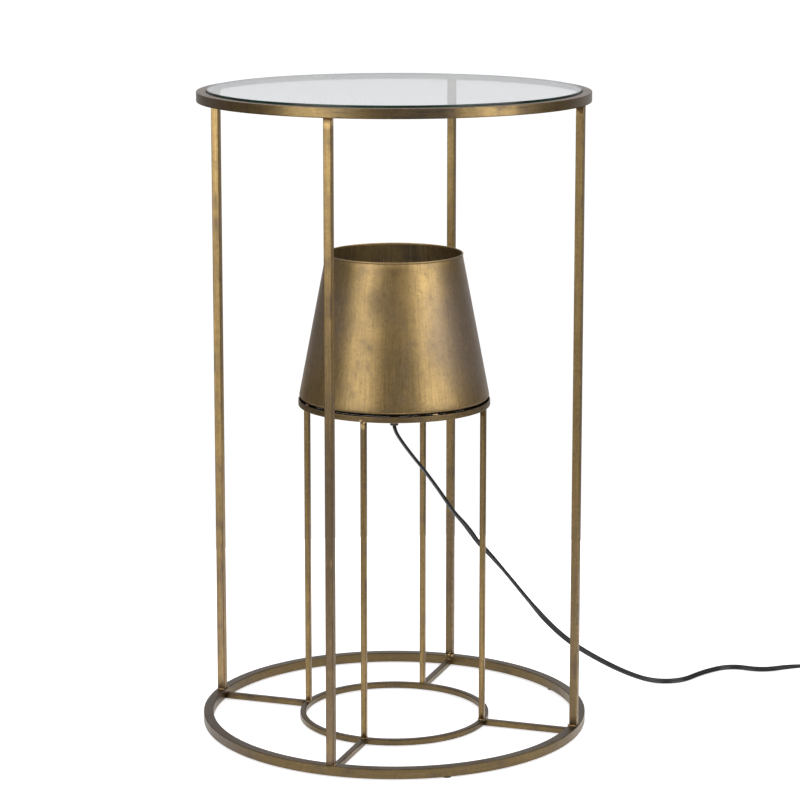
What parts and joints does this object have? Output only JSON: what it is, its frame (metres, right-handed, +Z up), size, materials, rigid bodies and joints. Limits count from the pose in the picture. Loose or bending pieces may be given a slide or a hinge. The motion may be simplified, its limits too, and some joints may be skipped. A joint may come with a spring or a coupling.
{
  "type": "floor lamp with table",
  "caption": "Round side table on a ring-and-post metal frame with a glass disc on top; an inner ring frame inside carries an open conical uplight shade, with a cord, rocker switch and plug.",
  "frame": {"origin": "on the floor at the axis of the rings", "axes": "+Z up along the axis of the rings; the four posts stand on -Y (front), +X (right), +Y (back) and -X (left); the cord leaves towards +X and +Y"},
  "size_m": [0.7895, 0.5368, 0.662],
  "materials": {
    "frame_brass": "antique brass, brushed and toned, satin",
    "shade_brass": "antique brass sheet, brushed up and down, satin",
    "weld_metal": "bright weld bead",
    "pad_rubber": "black, matt",
    "clear_bumper": "clear soft plastic",
    "table_glass": "clear float glass with a polished edge",
    "plated_steel": "zinc plated",
    "gland_plastic": "brown moulded plastic",
    "holder_plastic": "black moulded plastic",
    "ceramic": "white ceramic",
    "contact_brass": "bright brass",
    "bulb_glass": "opal glass",
    "bulb_metal": "spun metal",
    "bulb_insulator": "black glass insulator",
    "cord_sheath": "black flexible sheath",
    "tie_plastic": "black plastic",
    "switch_plastic": "black moulded plastic, fine grain",
    "rocker_plastic": "black moulded plastic, satin",
    "plug_plastic": "black moulded plastic, fine grain",
    "pin_metal": "nickel plated brass"
  },
  "bodies": {
    "root": {"table_ring": "frame_brass", "base_ring": "frame_brass", "post_front": "frame_brass", "post_right": "frame_brass", "post_back": "frame_brass", "post_left": "frame_brass", "floor_pads": "pad_rubber", "glass_tabs": "frame_brass", "glass_bumpers": "clear_bumper", "inner_base_ring": "frame_brass", "spoke_front": "frame_brass", "spoke_right": "frame_brass", "spoke_back": "frame_brass", "spoke_left": "frame_brass", "inner_post_front": "frame_brass", "inner_post_right": "frame_brass", "inner_post_back": "frame_brass", "inner_post_left": "frame_brass", "shade_ring": "frame_brass", "shade_tacks": "weld_metal", "shade": "shade_brass", "holder_carrier": "plated_steel", "threaded_tube": "plated_steel", "lock_nut": "plated_steel", "cord_gland": "gland_plastic", "holder_cap": "holder_plastic", "holder_sleeve": "holder_plastic", "holder_insert": "ceramic", "screw_shell": "contact_brass", "centre_contact": "contact_brass", "cord_inside": "cord_sheath", "cord_to_switch": "cord_sheath", "cord_lead": "cord_sheath", "cord_coil": "cord_sheath", "cord_tail": "cord_sheath", "cord_tie": "tie_plastic", "switch_lower_shell": "switch_plastic", "switch_upper_shell": "switch_plastic", "switch_contacts": "contact_brass", "switch_cord_ends": "cord_sheath", "plug_body": "plug_plastic", "plug_relief": "plug_plastic", "plug_pins": "pin_metal"},
    "glass_top": {"glass_top": "table_glass"},
    "bulb": {"bulb_glass": "bulb_glass", "bulb_cap": "bulb_metal", "bulb_tip_contact": "bulb_insulator"},
    "rocker": {"switch_rocker": "rocker_plastic"}
  },
  "joints": [
    {"name": "glass_lift", "type": "slide", "parent": "root", "child": "glass_top", "axis": [0, 0, 1], "range_m": [0, 0.12]},
    {"name": "bulb_lift", "type": "slide", "parent": "root", "child": "bulb", "axis": [0, 0, 1], "range_m": [0, 0.14]},
    {"name": "rocker_tilt", "type": "hinge", "parent": "root", "child": "rocker", "pos_m": [0.42593, 0.31664, 0.0113], "axis": [0.4047, -0.9144, 0], "range_deg": [0, 16]}
  ]
}
